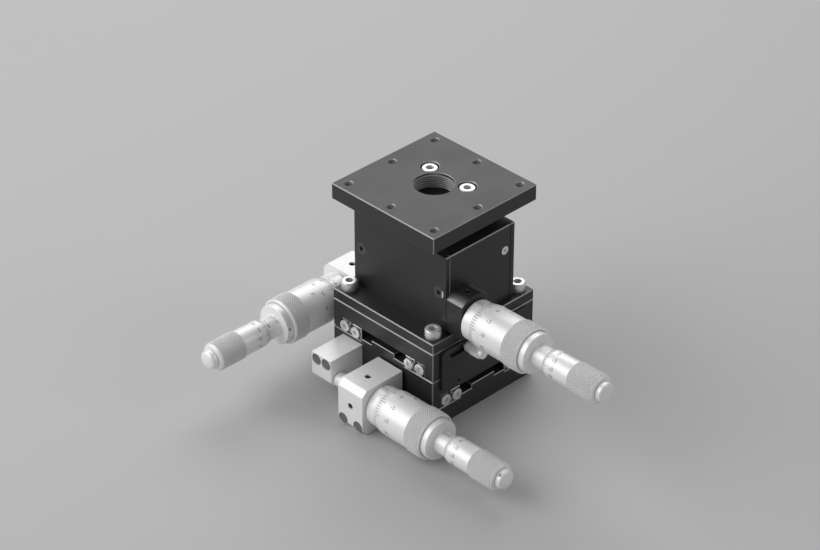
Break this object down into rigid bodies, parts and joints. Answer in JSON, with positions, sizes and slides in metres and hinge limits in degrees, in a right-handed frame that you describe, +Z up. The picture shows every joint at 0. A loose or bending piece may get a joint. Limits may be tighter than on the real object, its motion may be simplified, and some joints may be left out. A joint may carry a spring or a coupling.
{
  "type": "xyz translation stage",
  "caption": "Three-axis linear positioning stage: two crossed slides under a wedge-driven lift with a drilled square top plate, each axis moved by a coarse and fine micrometer head.",
  "frame": {"origin": "centre of the base plate's underside", "axes": "+Z up through the centre of the top plate; +X is the way the X head and the lift head point; the Y head points to -Y"},
  "size_m": [0.1652, 0.1307, 0.0952],
  "materials": {
    "black_anodised": "satin",
    "black_lock_plate": "matte",
    "clear_anodised": "satin",
    "satin_chrome": "satin",
    "rail_steel": "brushed",
    "bright_screw": "satin",
    "dark_screw": "satin"
  },
  "bodies": {
    "base": {"base_plate": "black_anodised", "x_base_rail_left": "rail_steel", "x_base_rail_right": "rail_steel", "base_rail_screws": "bright_screw", "x_clamp_block": "clear_anodised", "x_clamp_bolts": "dark_screw", "x_clamp_set_screws": "dark_screw", "x_lock_plate": "black_lock_plate", "x_lock_plate_screws": "dark_screw", "x_sleeve": "satin_chrome"},
    "x_feed": {"x_spindle": "satin_chrome"},
    "x_coarse": {"x_coarse_thimble": "satin_chrome", "x_fine_sleeve": "satin_chrome"},
    "x_fine_stem": {"x_end_cap": "satin_chrome"},
    "x_fine": {"x_fine_thimble": "satin_chrome"},
    "middle": {"middle_plate": "black_anodised", "x_table_rail_left": "rail_steel", "x_table_rail_right": "rail_steel", "y_base_rail_left": "rail_steel", "y_base_rail_right": "rail_steel", "middle_rail_screws": "bright_screw", "x_anvil_block": "clear_anodised", "middle_block_bolts": "dark_screw", "y_clamp_block": "clear_anodised", "y_clamp_set_screws": "dark_screw", "y_lock_plate": "black_lock_plate", "y_lock_plate_screws": "dark_screw", "y_sleeve": "satin_chrome"},
    "x_lock": {"x_lock_screw": "bright_screw"},
    "y_feed": {"y_spindle": "satin_chrome"},
    "y_coarse": {"y_coarse_thimble": "satin_chrome", "y_fine_sleeve": "satin_chrome"},
    "y_fine_stem": {"y_end_cap": "satin_chrome"},
    "y_fine": {"y_fine_thimble": "satin_chrome"},
    "table": {"top_table": "black_anodised", "y_table_rail_left": "rail_steel", "y_table_rail_right": "rail_steel", "table_rail_screws": "bright_screw", "y_anvil_block": "clear_anodised", "y_anvil_bolts": "dark_screw", "adapter_plate": "black_anodised", "adapter_bolts": "bright_screw", "z_frame": "black_anodised", "z_side_plate_front": "black_anodised", "z_side_plate_back": "black_anodised", "z_cover": "black_anodised", "z_housing_screws": "dark_screw", "z_clamp_block": "black_anodised", "z_clamp_set_screw": "dark_screw", "z_sleeve": "satin_chrome"},
    "y_lock": {"y_lock_screw": "bright_screw"},
    "z_feed": {"z_spindle": "satin_chrome", "z_wedge": "rail_steel"},
    "z_coarse": {"z_coarse_thimble": "satin_chrome", "z_fine_sleeve": "satin_chrome"},
    "z_fine_stem": {"z_end_cap": "satin_chrome"},
    "z_fine": {"z_fine_thimble": "satin_chrome"},
    "lift": {"z_column": "black_anodised", "top_plate": "black_anodised", "top_plate_bolts": "bright_screw"}
  },
  "joints": [
    {"name": "x_spindle_feed", "type": "slide", "parent": "base", "child": "x_feed", "axis": [1, 0, 0], "range_m": [-0.005, 0.005]},
    {"name": "x_coarse_turn", "type": "hinge", "parent": "x_feed", "child": "x_coarse", "pos_m": [0.013, -0.0439, 0.01215], "axis": [1, 0, 0], "range_deg": [-3600, 3600]},
    {"name": "x_fine_stem_feed", "type": "slide", "parent": "x_coarse", "child": "x_fine_stem", "axis": [1, 0, 0], "range_m": [-0.0025, 0.0025]},
    {"name": "x_fine_turn", "type": "hinge", "parent": "x_fine_stem", "child": "x_fine", "pos_m": [0.013, -0.0439, 0.01215], "axis": [1, 0, 0], "range_deg": [-1800, 1800]},
    {"name": "x_stage_fine_feed", "type": "slide", "parent": "x_feed", "child": "middle", "axis": [1, 0, 0], "range_m": [-0.000125, 0.000125]},
    {"name": "x_lock_turn", "type": "hinge", "parent": "middle", "child": "x_lock", "pos_m": [0.0107, 0.0315, 0.01945], "axis": [0, 1, 0], "range_deg": [-20, 360]},
    {"name": "y_spindle_feed", "type": "slide", "parent": "middle", "child": "y_feed", "axis": [0, -1, 0], "range_m": [-0.005, 0.005]},
    {"name": "y_coarse_turn", "type": "hinge", "parent": "y_feed", "child": "y_coarse", "pos_m": [-0.0439, -0.013, 0.02735], "axis": [0, -1, 0], "range_deg": [-3600, 3600]},
    {"name": "y_fine_stem_feed", "type": "slide", "parent": "y_coarse", "child": "y_fine_stem", "axis": [0, -1, 0], "range_m": [-0.0025, 0.0025]},
    {"name": "y_fine_turn", "type": "hinge", "parent": "y_fine_stem", "child": "y_fine", "pos_m": [-0.0439, -0.013, 0.02735], "axis": [0, -1, 0], "range_deg": [-1800, 1800]},
    {"name": "y_stage_fine_feed", "type": "slide", "parent": "y_feed", "child": "table", "axis": [0, -1, 0], "range_m": [-0.000125, 0.000125]},
    {"name": "y_lock_turn", "type": "hinge", "parent": "table", "child": "y_lock", "pos_m": [0.0315, -0.0107, 0.03465], "axis": [1, 0, 0], "range_deg": [-20, 360]},
    {"name": "z_spindle_feed", "type": "slide", "parent": "table", "child": "z_feed", "axis": [1, 0, 0], "range_m": [-0.005, 0.005]},
    {"name": "z_coarse_turn", "type": "hinge", "parent": "z_feed", "child": "z_coarse", "pos_m": [0.0364, -0.0122, 0.0515], "axis": [1, 0, 0], "range_deg": [-3600, 3600]},
    {"name": "z_fine_stem_feed", "type": "slide", "parent": "z_coarse", "child": "z_fine_stem", "axis": [1, 0, 0], "range_m": [-0.0025, 0.0025]},
    {"name": "z_fine_turn", "type": "hinge", "parent": "z_fine_stem", "child": "z_fine", "pos_m": [0.0364, -0.0122, 0.0515], "axis": [1, 0, 0], "range_deg": [-1800, 1800]},
    {"name": "z_lift", "type": "slide", "parent": "table", "child": "lift", "axis": [0, 0, 1], "range_m": [-0.005, 0.005]}
  ],
  "couplings": [
    {"joint": "x_coarse_turn", "follows": "x_spindle_feed", "rad_per_m": 12566},
    {"joint": "x_fine_turn", "follows": "x_stage_fine_feed", "rad_per_m": 251330},
    {"joint": "x_fine_stem_feed", "follows": "x_stage_fine_feed", "ratio": 20},
    {"joint": "y_coarse_turn", "follows": "y_spindle_feed", "rad_per_m": 12566},
    {"joint": "y_fine_turn", "follows": "y_stage_fine_feed", "rad_per_m": 251330},
    {"joint": "y_fine_stem_feed", "follows": "y_stage_fine_feed", "ratio": 20},
    {"joint": "z_spindle_feed", "follows": "z_lift", "ratio": -1},
    {"joint": "z_coarse_turn", "follows": "z_lift", "rad_per_m": -12566},
    {"joint": "z_fine_turn", "follows": "z_fine_stem_feed", "rad_per_m": 12566}
  ]
}
